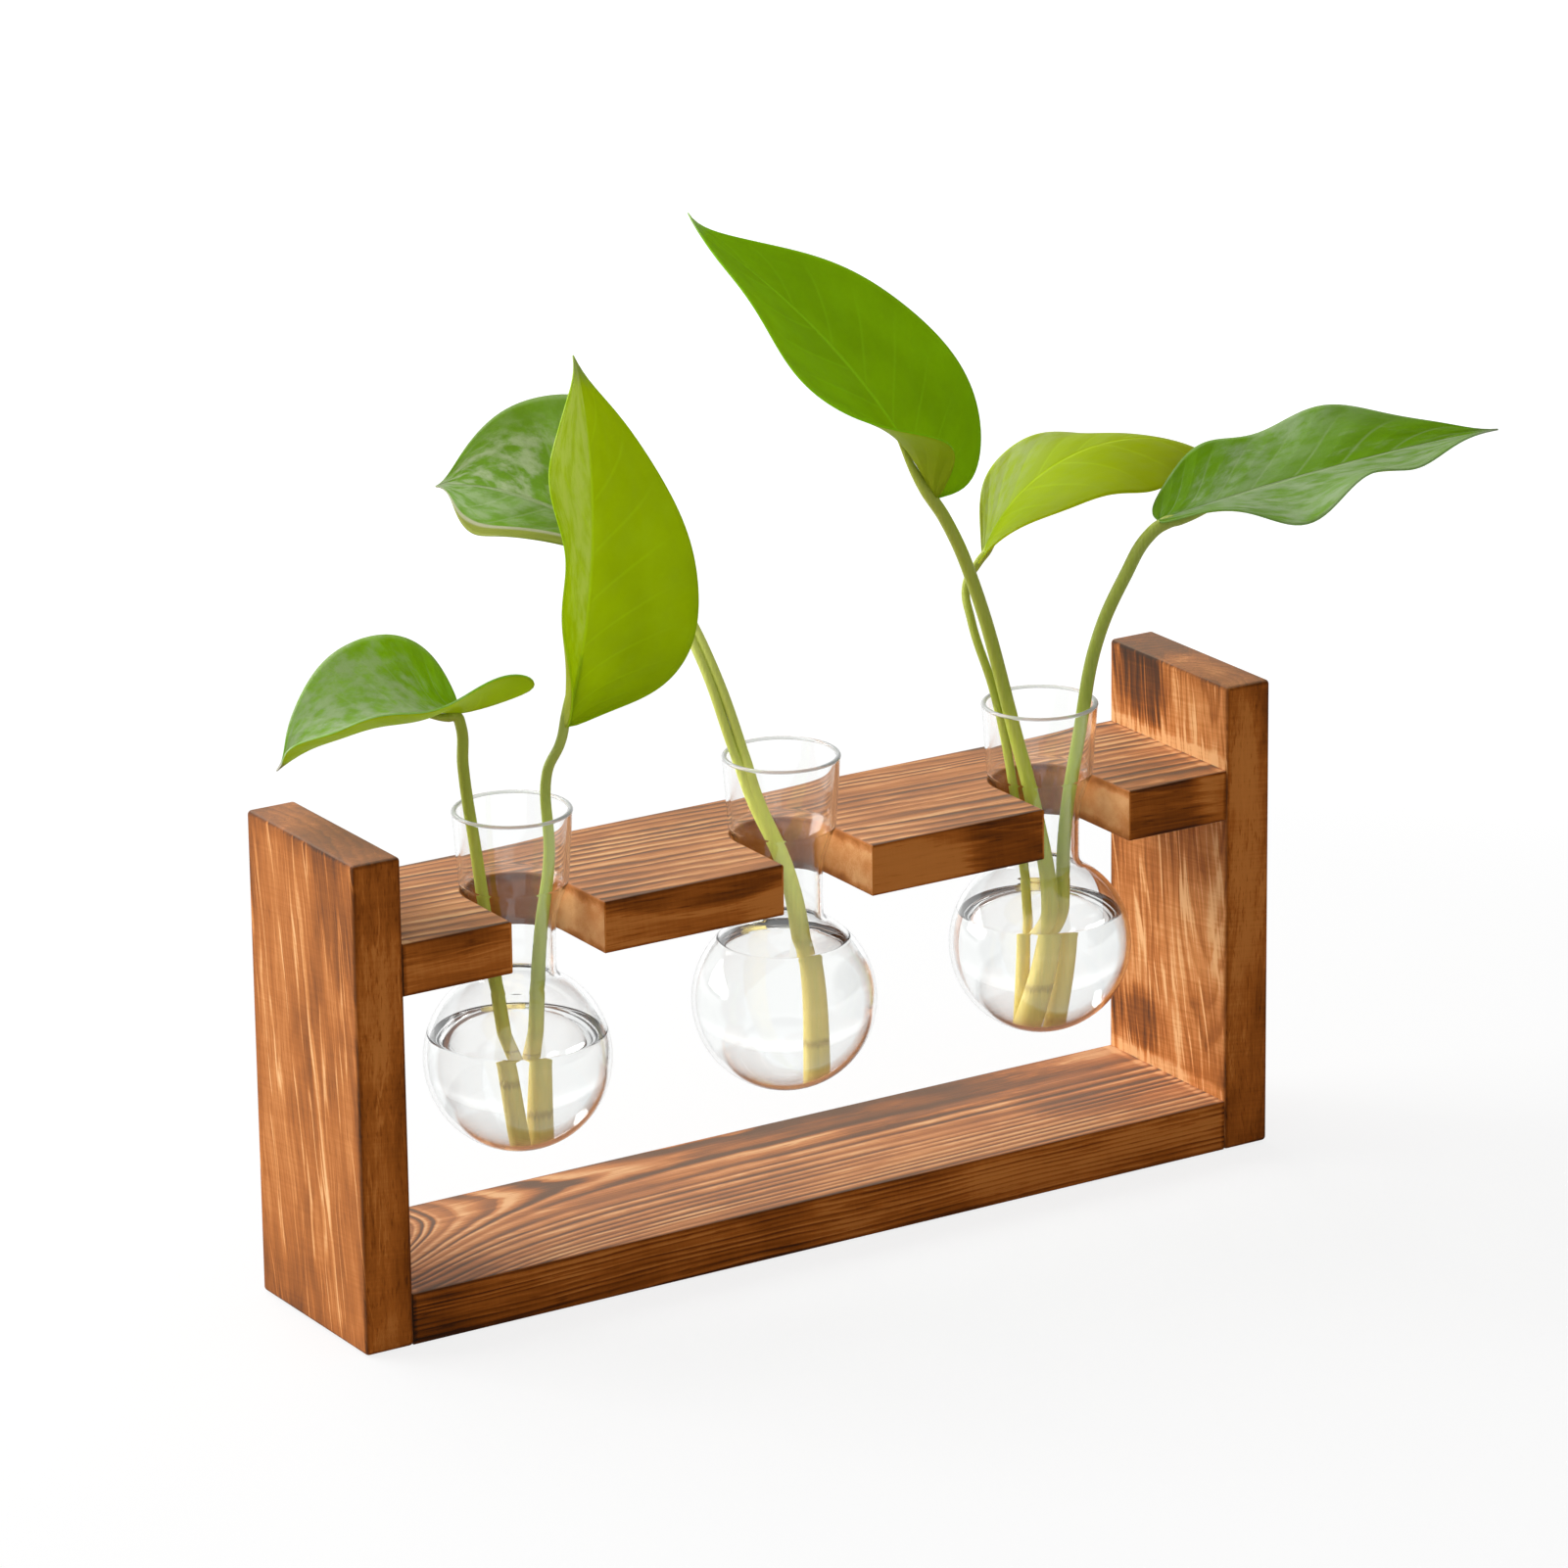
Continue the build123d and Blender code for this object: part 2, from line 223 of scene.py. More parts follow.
def torched_wood(name, low, high, grain, rings, slant, faces, burns, notches=None):
    """Pine burnt with a torch: dark and tan grain lines, dark arrises, burnt and bare spots.

    low and high are the board's corners in metres, grain the axis that its grain follows.
    rings gives the log's centre across the grain, its slope, the spacing, how wavy the rings are,
    and for a board that is cut through the centre, where along the grain that is, over what
    length the rings open and how deep.
    slant leans the streaks. faces gives tone, lines, streaks and saw marks for each face.
    burns lists spots of another tone: face, centre and reach in millimetres, and change of tone.
    notches gives the pitch, the centre and the half width of the shelf's notches in millimetres.
    """
    f = Finish(name)
    place = f.place()
    normal = f.facing()
    run = place["XYZ".index(grain)]
    first, second = [place[k] for k in range(3) if k != "XYZ".index(grain)]
    front = abs(normal[1]).rise(0.6, 0.9)
    top = abs(normal[2]).rise(0.6, 0.9)
    masks = {"side": (1 - front - top).highest(0), "front": front, "top": top}

    def by_face(k):
        return sum(masks[face] * faces[face][k] for face in masks)

    def grained(depth, scales, detail=2, roughness=0.5):
        """Noise scaled along the grain and the two ways across it."""
        stretched = f.vector(run * scales[0], first * scales[1], depth * scales[2])
        return f.noise(stretched, detail=detail, roughness=roughness)

    # Growth rings, cut by the faces: a thin pale line and a dark one in each
    pith, lean, spacing, bend, eye = rings
    wave = grained(second, (0.011, 0.05, 0.05)) - 0.5
    ripple = grained(second, (0.03, 0.16, 0.16)) - 0.5
    across = first - run * lean[0] - pith[0] + (wave * 9 + ripple * 2.2) * bend
    deep = second - run * lean[1] - pith[1] + wave * (6 * bend)
    if eye:
        start, length, depth = eye
        deep = deep + (1 - ((start - run) / length).maths("EXPONENT")) * depth
    ring = (across * across + deep * deep) ** 0.5 / spacing
    if grain == "X":
        ring = ring + front * (second / (spacing * 0.75) + wave * 2 - ring)
    drift = f.noise(f.vector(ring * 0.21, run * 0.002, 0.0), detail=1)
    ring = ring + ripple * bend + drift * 3
    cycle = ring.fraction()
    strong = f.noise(f.vector(ring * 0.6, run * 0.01, 0.0), detail=2)
    weight = strong.rise(0.25, 0.75) * 1.2 + 0.1
    pale = cycle.rise(0.0, 0.12) * (1 - cycle.rise(0.18, 0.5))
    dark = cycle.rise(0.45, 0.85) * (1 - cycle.rise(0.9, 1.0))
    line = (pale * 0.45 - dark * 1.05) * weight

    # Fibres, streaks and burnt clouds along the grain, saw marks across it
    leaned = second - run * slant + wave * 8
    fibre = grained(leaned, (0.035, 2.6, 2.6), 3, 0.6) - 0.5
    pore = grained(leaned, (0.11, 1.5, 1.5)).rise(0.56, 0.72)
    streak = grained(leaned, (0.022, 0.75, 0.75), 4, 0.62) - 0.5
    contour = grained(leaned, (0.009, 0.16, 0.16)) - 0.5
    broken = grained(leaned, (0.03, 0.25, 0.25)).rise(0.38, 0.62)
    vein = (1 - abs(contour) * 30).highest(0) * broken
    cloud = grained(second, (0.014, 0.06, 0.07), 6, 0.62) - 0.5
    burnt = grained(second, (0.018, 0.035, 0.04), 3).rise(0.32, 0.62) - 0.62
    stroke = run * 1.2 + first * 0.14 + second * 0.14
    saw = f.noise(f.vector(stroke, first * 0.04, second * 0.04), detail=2) - 0.5

    # Distance to the nearest arris: the middle one of the three distances to the faces
    reach = []
    for k in range(3):
        centre = (low[k] + high[k]) / 2 / MM
        half = (high[k] - low[k]) / 2 / MM
        reach.append(half - abs(place[k] - centre))
    nearest = reach[0].lowest(reach[1]).highest(reach[0].highest(reach[1]).lowest(reach[2]))
    arris = 1 - (nearest + cloud * 2).rise(0.2, 1.5)
    scorch = 1 - (nearest + cloud * 14).rise(0.5, 8.0)

    lines = by_face(1)
    tone = by_face(0) + line * lines + fibre * (lines * 0.4 + 0.2)
    tone = tone + (streak + vein * 0.8) * by_face(2)
    tone = tone + cloud * 0.25 + burnt * 0.22 + saw * by_face(3)
    tone = tone - arris * 0.24 - scorch * 0.1 - pore * 0.15
    spot = f.vector(*[leaned if part is second else part for part in place])
    for face, centre, size, change in burns:
        offset = f.vector_maths("SUBTRACT", (spot, centre))
        share = f.vector_maths("DIVIDE", (offset, size))
        span = f.vector_maths("LENGTH", (share,), "Value")
        near = 1 - (span + ripple * 0.5 + cloud * 0.7 + streak * 0.8).rise(0.45, 1.0)
        tone = tone + near * masks[face] * change
    if notches:
        # The wall of a notch is bare, but charred along its arrises
        pitch, centre_y, half = notches
        fold = ((place[0] + pitch * 1.5) / pitch).fraction() - 0.5
        ahead = (place[1] - centre_y).highest(0)
        gap = ((fold * pitch) ** 2 + ahead * ahead) ** 0.5
        wall = 1 - gap.rise(half + 0.3, half + 0.75)
        charred = 1 - (reach[2] + cloud * 8).rise(0.3, 3.5)
        worn = 0.88 - ahead.rise(0, 6) * 0.2 + cloud * 0.5
        worn = worn + fibre * 0.2 + saw * 0.12 - charred * 0.24
        tone = tone + wall * (worn - tone)
    tone = tone - front * (tone - 0.76).highest(0) * 0.8
    # Painted sheen: the tops, and a little the sides, are paled towards tan as if they reflected the
    # bright room
    painted_sheen = top * 0.3 + masks["side"] * 0.07
    colour = f.mix(painted_sheen, f.ramp(tone, CHAR_STOPS), SHEEN_TAN)
    colour = f.mix(front, colour, AMBER, "MULTIPLY")
    height = line * lines * 0.8 + fibre * (lines + 0.2) + saw * 0.2
    return f.surface(
        Base_Color=colour, Roughness=0.62 - pale * lines * 0.2 + fibre * 0.15,
        Normal=f.bump(height, 0.3, 0.0006), Specular_IOR_Level=0.07,
    )


def dowel_wood():
    """Pale turned beech for the hidden dowels."""
    f = Finish("dowel_beech")
    x, y, z = f.place()
    fleck = f.noise(f.vector(x * 0.15, y * 1.8, z * 1.8), detail=3)
    colour = f.ramp(fleck, ((0.3, (0.42, 0.25, 0.12)), (0.7, (0.62, 0.43, 0.25))))
    return f.surface(Base_Color=colour, Roughness=0.6 + fleck * 0.15)


def see_through(name, tint, bend):
    """Clear glass or water that lets the lamps' light through to what stands in it."""
    f = Finish(name)
    body = f.shader(Base_Color=tint, Roughness=0.0, IOR=bend, Transmission_Weight=1.0)
    passed = f.add("ShaderNodeBsdfTransparent", None, {"Color": (*tint, 1)})
    return f.end(f.blend(f.ray("Shadow"), body, passed))


def rim_white_highlight():
    """The rim bead, pale and partly opaque: a painted white highlight for the reflections that make
    clear glass look white there.
    """
    f = Finish("rim_painted_white")
    x, y, z = f.place()
    uneven = f.noise(f.vector(x, y, z), scale=0.12, detail=2)
    tint = f.mix(uneven, (0.80, 0.83, 0.84), (0.97, 0.98, 0.98))
    return f.surface(
        Base_Color=tint, Roughness=0.05 + uneven * 0.1, IOR=1.46, Transmission_Weight=0.45,
    )


HEM_EDGE = (0.85, 0.80, 0.58)
HEM_UNDERSIDE = (0.48, 0.50, 0.10)
DRY_TIP = (0.46, 0.44, 0.36)


def leaf_skin(
    name, deep, bright, glow, veins, wax, mottle_and_sheen=None, tip=0.4, painted_light_stretches=(), hem=False,
):
    """Leaf blade on its own map: across 0 to 1 with the midrib at a half, along 0 to 1 to the tip.

    deep and bright are its colours, and glow is the colour of light that comes through.
    veins is the number of side veins, wax the share of its shiny coat, tip how dry its tip is.
    Pale flecks, given as a colour and the noise levels between which they come in: the variegated
    leaf's cream mottling, and painted sheen on the other leaves.
    Pale stretches of painted sheen and painted light: the half, where along each starts and ends,
    the share, the colour.
    hem paints the left margin's cream edge and olive underside as if it were turned up.
    """
    f = Finish(name)
    across, along, _ = f.parts(f.add("ShaderNodeTexCoord", out="UV"))
    x, y, z = f.place()
    beside = (across - 0.5) * 2
    off = abs(beside)
    flank = beside.rise(-0.01, 0.01)

    # Side veins that run out and forward from the midrib, and patches that follow them
    path = (along - off * (0.34 - along * 0.16) + flank * (0.45 / veins)) * veins
    cycle = abs(path.fraction() - 0.5) * 2
    vein = cycle.rise(0.86, 1.0) * (1 - off.rise(0.5, 0.95)) * off.rise(0.0, 0.08)
    rib = (1 - off.rise(0.01, 0.035)) * (1 - along.rise(0.75, 1.0) * 0.7)
    grain = f.noise(f.vector(x, y, z), scale=0.9, detail=3) - 0.5
    cloud = f.noise(f.vector(beside * 1.6, along * 3.2, flank), scale=1.6, detail=3)
    flow = f.vector(path * 1.1 + flank * 7, off * 3.4, flank * 3)
    patch = f.noise(flow, scale=1.7, detail=5, roughness=0.62)
    swell = 1 - cycle

    tone = cloud * 0.8 + swell * 0.08 + grain * 0.2 + (off - 0.5) * 0.12
    colour = f.mix(tone.rise(0.12, 0.85), deep, bright)
    light = tuple(min(1, part * 1.5 + 0.02) for part in bright)
    ragged = along - off * 0.4 + (patch - 0.5) * 0.4
    streaky = patch.rise(0.34, 0.64) * 0.75 + 0.25
    # Painted sheen and painted light: pale stretches laid over one half of the blade
    for half, start, end, share, wash in painted_light_stretches:
        begun = ragged.rise(start - 0.15, start + 0.15)
        stretch = begun * (1 - ragged.rise(end - 0.15, end + 0.15))
        side = 1 - flank if half == "left" else flank
        colour = f.mix(side * stretch * streaky * share, colour, wash)
    # Pale flecks: cream mottling on the variegated leaf, painted sheen on the others
    if mottle_and_sheen:
        fleck, low, high = mottle_and_sheen
        marbled = patch.rise(low, high) * (1 - off.rise(0.6, 0.9) * 0.8)
        colour = f.mix(marbled * (flank * 0.75 + 0.25) if hem else marbled, colour, fleck)
        light = fleck
    colour = f.mix((vein * 0.3).highest(rib * 0.75), colour, light)
    colour = f.mix(off.rise(0.95, 0.99) * 0.3, colour, light)
    if hem:
        turned = off - along.rise(0.4, 0.95) * 0.55 - 0.36
        edge = turned.rise(-0.02, 0.02) * (1 - flank)
        colour = f.mix(edge, colour, HEM_EDGE)
        colour = f.mix(edge * turned.rise(0.05, 0.12), colour, HEM_UNDERSIDE)
    dry = (along + (patch - 0.5) * 0.06).rise(0.93, 0.98) * tip
    colour = f.mix(dry, colour, DRY_TIP)
    height = grain * 0.15 + swell * 0.6 - rib * 0.9 + patch * 0.5
    skin = f.shader(
        Base_Color=colour, Roughness=0.42 + grain * 0.12 + cloud * 0.08,
        Normal=f.bump(height, 0.45, 0.0014), Specular_IOR_Level=0.04,
        Coat_Weight=patch.rise(0.3, 0.75) * wax, Coat_Roughness=0.32,
    )
    lit = f.add("ShaderNodeBsdfTranslucent", None, {"Color": (*glow, 1)})
    through = 0.46 + tone * 0.14
    return f.end(f.blend(through * (1 - dry), skin, lit))


WET_STALK = (0.85, 0.66, 0.18)
PALE_STREAK = (0.55, 0.56, 0.16)
NODE_BROWN = (0.30, 0.15, 0.04)


def stem_skin(name, green, water, node):
    """Green stalk: paler and yellower under water, with a brown ring at its node.

    water and node are heights in millimetres; a stalk that shows no node has None.
    """
    f = Finish(name)
    x, y, z = f.place()
    streak = f.noise(f.vector(x * 1.6, y * 1.6, z * 0.05), detail=3) - 0.5
    fleck = f.noise(f.vector(x, y, z), scale=1.1, detail=3) - 0.5
    colour = f.mix((z + streak * 14).rise(water - 22, water + 26), WET_STALK, green)
    colour = f.mix((streak * 1.6 + 0.35).rise(0, 1) * 0.4, colour, PALE_STREAK)
    height = streak * 0.6 + fleck * 0.3
    if node:
        ring = 1 - abs(z - node + streak * 2).rise(0.0, 1.4)
        colour = f.mix(ring * 0.4, colour, NODE_BROWN)
        height = height + ring * 1.2
    return f.surface(
        Base_Color=colour, Roughness=0.42 + fleck * 0.2, Normal=f.bump(height, 0.45, 0.0008),
        Specular_IOR_Level=0.2,
    )


def floor_finish():
    """Pale floor that keeps the shadow and turns white away from the rack."""
    f = Finish("pale_floor")
    shade = f.add("ShaderNodeBsdfDiffuse", None, {"Color": (0.6, 0.6, 0.6, 1)})
    x, y, _ = f.place()
    away = ((x * x + y * y) ** 0.5).rise(350, 900)
    white = f.mix(away, (0.8, 0.8, 0.8), (1, 1, 1))
    glow = f.add("ShaderNodeEmission", None, {"Color": white, "Strength": 1.425})
    seen = f.ray("Camera", "Glossy", "Transmission")
    return f.end(f.blend(seen * 0.72, shade, glow))


def light_studio(world):
    """Plain soft light, white behind the vases, with a dark card at each end for the glass."""
    f = Finish("studio", world)
    x, y, _ = f.parts(f.add("ShaderNodeTexCoord", out="Generated"))
    card = abs(x * 0.85 - y * 0.527).rise(0.8, 0.96)
    mirrored = f.ray("Glossy", "Transmission") * (0.75 - card * 0.85)
    level = 0.5 + f.ray("Camera") * 0.75 + mirrored
    sky = f.add("ShaderNodeBackground", None, {"Strength": level})
    f.add("ShaderNodeOutputWorld", None, {"Surface": sky})


# Sizes and colours

class RackFinish(bpy.types.PropertyGroup):
    """Grain of the torched boards."""

    ring_spacing: bpy.props.FloatProperty(
        name="Ring spacing", description="Distance between growth rings in millimetres",
        default=3.0, min=0.5,
    )


class VaseSizes(bpy.types.PropertyGroup):
    """Sizes of a glass bulb vase."""

    bulb: bpy.props.FloatProperty(
        name="Bulb", description="Bulb diameter", default=0.056, unit="LENGTH",
    )
    neck: bpy.props.FloatProperty(
        name="Neck", description="Neck diameter", default=0.024, unit="LENGTH",
    )
    neck_top: bpy.props.FloatProperty(
        name="Neck top", description="Height where the neck starts to flare", default=0.067,
        unit="LENGTH",
    )
    seat: bpy.props.FloatProperty(
        name="Seat", description="Diameter at the shelf top", default=0.0304, unit="LENGTH",
    )
    seat_height: bpy.props.FloatProperty(
        name="Seat height", description="Height of the shelf top on the vase", default=0.0802,
        unit="LENGTH",
    )
    cup: bpy.props.FloatProperty(
        name="Cup", description="Diameter at the foot of the cup", default=0.0324, unit="LENGTH",
    )
    cup_height: bpy.props.FloatProperty(
        name="Cup height", description="Height of the foot of the cup", default=0.0826,
        unit="LENGTH",
    )
    rim: bpy.props.FloatProperty(
        name="Rim", description="Rim diameter", default=0.0354, unit="LENGTH",
    )
    height: bpy.props.FloatProperty(
        name="Height", description="Height of the vase", default=0.105, unit="LENGTH",
    )
    shoulder: bpy.props.FloatProperty(
        name="Shoulder", description="Rounding between bulb and neck", default=0.004,
        unit="LENGTH",
    )
    wall: bpy.props.FloatProperty(
        name="Wall", description="Glass thickness", default=0.0013, unit="LENGTH",
    )
    water: bpy.props.FloatVectorProperty(
        name="Water", description="Water level above the foot, left to right",
        default=(0.0357, 0.0467, 0.0382), size=3, unit="LENGTH",
    )


class LeafColours(bpy.types.PropertyGroup):
    """Colours of the cuttings."""

    mid_green: bpy.props.FloatVectorProperty(
        name="Mid green", description="Upper side of the larger leaves",
        default=(0.125, 0.285, 0.002), subtype="COLOR",
    )
    lime: bpy.props.FloatVectorProperty(
        name="Lime", description="Upper side of the young leaves",
        default=(0.205, 0.325, 0.001), subtype="COLOR",
    )
    deep_green: bpy.props.FloatVectorProperty(
        name="Deep green", description="Upper side of the old leaf",
        default=(0.105, 0.235, 0.02), subtype="COLOR",
    )
    # Also the colour of the painted sheen flecks on left_low and right_spread
    cream: bpy.props.FloatVectorProperty(
        name="Cream", description="Pale patches of the mottled leaf",
        default=(0.62, 0.74, 0.44), subtype="COLOR",
    )
    underside: bpy.props.FloatVectorProperty(
        name="Underside", description="Lower side of every leaf",
        default=(0.40, 0.42, 0.02), subtype="COLOR",
    )


# Stalks: path points beside the vase's axis and above its foot, radii at the two ends and the
# node's height, all in millimetres; split is the point from which a sheath stands beside the stalk
STEMS = {
    "left_low": dict(
        place="left", radii=(2.4, 1.7), green=(0.42, 0.48, 0.05), node=66, split=None,
        path=[
            (-1.3, -3.9, 3.4), (-4.4, 1.2, 40.0), (-6.7, 4.1, 66.5), (-9.0, 5.6, 90.0),
            (-11.8, 7.3, 118.0), (-12.2, 7.6, 134.5),
        ],
    ),
    "left_tall": dict(
        place="left", radii=(2.9, 1.5), green=(0.46, 0.56, 0.09), node=58, split=None,
        path=[
            (4.8, 1.1, 3.4), (5.2, -1.6, 33.0), (6.4, -4.0, 66.5), (9.0, -5.5, 90.0),
            (7.5, -7.5, 115.0), (6.5, -21.7, 134.5),
        ],
    ),
    "middle": dict(
        place="middle", radii=(3.0, 2.2), green=(0.72, 0.80, 0.16), node=61, split=2,
        path=[
            (5.8, -3.6, 4.2), (5.4, -3.4, 37.0), (1.3, -0.6, 67.5), (-6.3, 5.5, 91.3),
            (-9.4, 8.5, 104.6), (-13.5, 19.0, 130.0), (-14.2, 44.1, 152.5),
        ],
    ),
    "right_high": dict(
        place="right", radii=(3.3, 2.0), green=(0.42, 0.49, 0.05), node=61, split=None,
        path=[
            (-4.6, 0.4, 4.4), (0.4, -3.0, 27.6), (1.0, -3.8, 42.0), (-1.4, -1.0, 66.6),
            (-6.8, 4.0, 97.0), (-16.7, 10.5, 142.0), (-29.1, 12.2, 171.0),
        ],
    ),
    "right_arched": dict(
        place="right", radii=(1.6, 1.3), green=(0.45, 0.52, 0.06), node=None, split=None,
        path=[
            (-1.0, 5.5, 4.2), (-2.5, 3.5, 40.0), (-4.6, 4.9, 66.0), (-9.8, 9.8, 106.4),
            (-12.2, 19.0, 128.2), (-9.2, 26.0, 137.2), (-2.6, 27.2, 145.0),
        ],
    ),
    "right_spread": dict(
        place="right", radii=(2.3, 2.0), green=(0.38, 0.47, 0.06), node=53, split=None,
        path=[
            (3.2, 1.4, 3.6), (6.8, -0.6, 26.0), (6.9, -4.0, 66.5), (10.4, -6.8, 96.6),
            (12.6, -12.0, 124.0), (16.0, -22.5, 147.5), (22.7, -30.6, 165.8),
        ],
    ),
}

# Blades: angles in degrees, lengths in millimetres; a pair is the left and the right half's, and
# a fold's pair is at the base and at the tip
LEAVES = {
    "left_low": dict(
        head=169, pitch=11.6, roll=-19, length=58.5, widths=(29.4, 27.2), arch=62, sweep=-10,
        left_fold=(21.5, 42), right_fold=(34, 23), curls=(54, 0), twist=13.6, widest=0.36,
        taper=1.02, lobes=(37, -2), waves=(1.7, 0.3), skew=1, count=2.1, start=0.04, hook=0,
        drip=0.75,
    ),
    "left_tall": dict(
        head=-6.4, pitch=73, roll=111, length=106.7, widths=(31.9, 33.6), arch=12.9, sweep=23.8,
        left_fold=(49.7, 7.8), right_fold=(30.9, 19.6), curls=(-3, 5.4), twist=-10, widest=0.36,
        taper=1.16, lobes=(1, -6.5), waves=(3.5, 0.4), skew=1, count=2.24, start=-0.13, hook=1.2,
        drip=0.5,
    ),
    "middle": dict(
        head=129.7, pitch=35.4, roll=-24.8, length=86.6, widths=(26.9, 34.8), arch=55.4, sweep=-7,
        left_fold=(53.8, 8.8), right_fold=(51, 24.7), curls=(-28, 0), twist=-35.7, widest=0.44,
        taper=1.39, lobes=(6.4, -2.2), waves=(-0.5, 0.6), skew=1, count=3, start=0, hook=1,
        drip=0.4,
    ),
    "right_high": dict(
        head=141.3, pitch=64.3, roll=-19.2, length=117, widths=(30, 30.1), arch=45.8, sweep=-10,
        left_fold=(17, 8.8), right_fold=(39.3, 7.8), curls=(62, 0), twist=-11.4, widest=0.31,
        taper=1.42, lobes=(-5.5, 10), waves=(2.4, -1.2), skew=1, count=1.61, start=0.68, hook=-8,
        drip=0.35,
    ),
    "right_arched": dict(
        head=-49, pitch=72, roll=32, length=93, widths=(29, 36), arch=114, sweep=6,
        left_fold=(14, -40), right_fold=(27, -24), curls=(0, 0), twist=-1, widest=0.42,
        taper=1, lobes=(-9, 5), waves=(0.4, 0.8), skew=1, count=3, start=0.8, hook=0,
        drip=0.2,
    ),
    "right_spread": dict(
        head=-15.8, pitch=13.4, roll=4.3, length=111, widths=(32.9, 33.1), arch=8.6, sweep=3.9,
        left_fold=(2.2, 17.9), right_fold=(4, 19.4), curls=(4, 12), twist=7.4, widest=0.38,
        taper=1.43, lobes=(5.9, 6.6), waves=(-3.3, 5.1), skew=0.7, count=2.33, start=0, hook=-1,
        drip=0.4,
    ),
}

# How far these reach along a blade, as shares of its length
HOOK_REACH = 0.07
DRIP_REACH = 0.09
LOBE_REACH = 0.15
LOBE_START = 0.03
CURL_REACH = 0.2

# Every blade: the share of its bow that is a crease at the midrib, how far the left margin's waves
# run ahead of the right's, its thickness, and how the rows of its grid crowd towards the stalk
CREASE = 0.3
LEFT_WAVE_LEAD = 0.3
BLADE_THICKNESS = 0.55 * MM
BASE_CROWDING = 1.35

# Glass and water: the bead starts a little below the rim and is wider than half the wall, and the
# water stands off the glass by a hair and is drawn up where it meets it
SPIN_STEPS = 96
BEAD_DROP = 0.0008
BEAD_SWELL = 0.62
WATER_GAP = 0.00006
MENISCUS = 0.0005

# Rack, in millimetres: half a notch's width, and a reach that takes in the whole of a board
NOTCH_HALF = 15.5
ALL = 999.0

# Camera: azimuth, elevation and roll in degrees, the point it looks at, how far off it stands and
# its lens in millimetres
VIEW_ANGLES = (-31.812, 17.948, -0.733)
VIEW_CENTRE = (0.00452, 0, 0.13635)
VIEW_DISTANCE = 2.26314
VIEW_LENS = 173.9


# Shapes

def vase_foot(place):
    """Middle of the underside of a vase."""
    low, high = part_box(f"{place}_vase")
    return Vector(((low.x + high.x) / 2, (low.y + high.y) / 2, low.z))


def arc(centre, radius, start, end, steps):
    """Points on an arc in the profile plane, angles in radians."""
    turns = [start + (end - start) * k / steps for k in range(steps + 1)]
    return [(centre[0] + radius * cos(turn), centre[1] + radius * sin(turn)) for turn in turns]


def straight(start, end, steps):
    """Points after start on the way to end, closer together at both ends."""
    shares = [0.5 - 0.5 * cos(pi * k / steps) for k in range(1, steps + 1)]
    return [
        (start[0] + (end[0] - start[0]) * t, start[1] + (end[1] - start[1]) * t) for t in shares
    ]


def smooth_run(points, steps):
    """A Catmull-Rom run through points, with steps to each stretch."""
    first, last = Vector(points[0]), Vector(points[-1])
    knots = [first * 2 - Vector(points[1]), *map(Vector, points), last * 2 - Vector(points[-2])]
    run = []
    for k in range(len(points) - 1):
        a, b, c, d = knots[k:k + 4]
        for step in range(steps):
            t = step / steps
            square = (a * 2 - b * 5 + c * 4 - d) * t ** 2
            cube = (b * 3 - a - c * 3 + d) * t ** 3
            run.append((b * 2 + (c - a) * t + square + cube) / 2)
    return [*run, last]


def glass_side(sizes, inset):
    """One side of the glass from the foot of the bulb to the rim, as (radius, height) points."""
    bulb = sizes.bulb / 2
    middle = sizes.neck / 2 + sizes.shoulder
    rise = sqrt((bulb + sizes.shoulder) ** 2 - middle ** 2)
    touch = Vector((middle, rise)).angle_signed(Vector((1, 0)))
    points = arc((0, bulb), bulb - inset, -pi / 2, touch, 44)
    points[0] = (0, inset)
    points += arc((middle, bulb + rise), sizes.shoulder + inset, pi + touch, pi, 8)[1:]
    points += straight(points[-1], (sizes.neck / 2 - inset, sizes.neck_top), 8)
    flare = [
        (sizes.neck / 2, sizes.neck_top), (sizes.neck / 2 + 0.0009, sizes.neck_top + 0.0062),
        (sizes.seat / 2, sizes.seat_height), (sizes.cup / 2, sizes.cup_height),
    ]
    points += [(radius - inset, height) for radius, height in smooth_run(flare, 8)[1:]]
    points += straight(points[-1], (sizes.rim / 2 - inset, sizes.height - BEAD_DROP), 16)
    return points


def glass_outline(sizes):
    """Both sides of the glass with the melted bead between them at the rim."""
    rim = sizes.rim / 2 - sizes.wall / 2
    bead = arc((rim, sizes.height - BEAD_DROP), sizes.wall * BEAD_SWELL, 0, pi, 10)
    return glass_side(sizes, 0) + bead + glass_side(sizes, sizes.wall)[::-1]


def water_side(sizes, level):
    """Side and surface of the water, drawn up a little where it meets the glass."""
    side = glass_side(sizes, sizes.wall + WATER_GAP)
    inside = [point for point in side if point[1] < level + 0.0004]
    edge = inside[-1][0]
    steps = (0.0001, 0.0004, 0.0008, 0.0013, 0.002)
    drawn = [(edge - step, level + MENISCUS * exp(-step / MENISCUS)) for step in steps]
    return inside + drawn + [(0.4 * edge, level), (0, level)]


